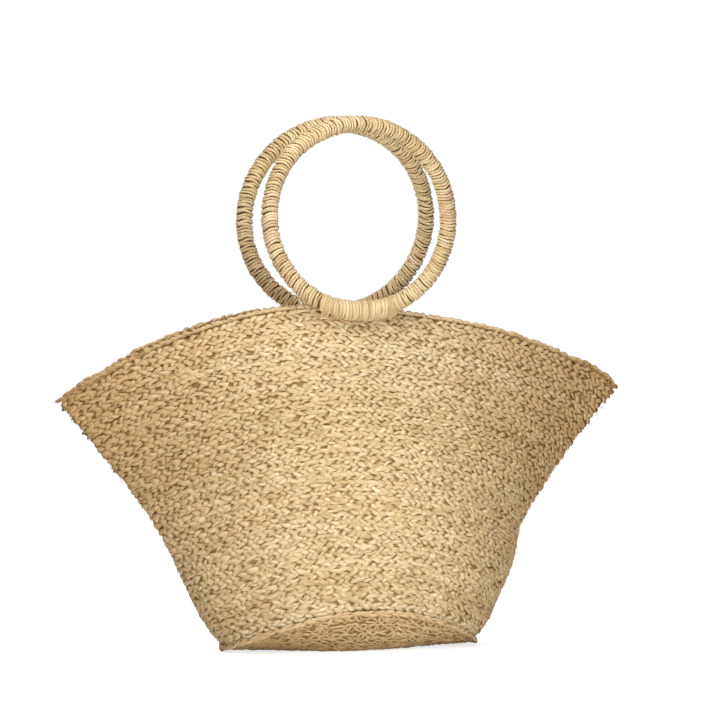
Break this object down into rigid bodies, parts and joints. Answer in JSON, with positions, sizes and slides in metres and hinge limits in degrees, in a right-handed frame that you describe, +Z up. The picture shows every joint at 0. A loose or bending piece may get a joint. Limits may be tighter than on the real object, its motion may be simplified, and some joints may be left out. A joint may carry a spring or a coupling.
{
  "type": "straw basket bag",
  "caption": "Straw basket bag with a flaring plaited wall, a pointed lens-shaped mouth, an oval base and round handles wound with straw.",
  "frame": {"origin": "middle of the flat underside of the base, on the floor", "axes": "+Z up, +X towards the right tip, -Y towards the front"},
  "size_m": [0.4636, 0.1203, 0.4165],
  "materials": {
    "wall_straw": "matt plaited straw",
    "base_straw": "matt plaited straw",
    "edge_straw": "matt plaited straw",
    "handle_straw": "satin wound straw",
    "lashing_straw": "satin wound straw"
  },
  "bodies": {
    "root": {"wall": "wall_straw", "base": "base_straw", "rim_roll": "edge_straw", "seam_plait": "edge_straw", "ring_front": "handle_straw", "ring_back": "handle_straw", "lashing_front": "lashing_straw", "lashing_back": "lashing_straw"}
  },
  "joints": []
}
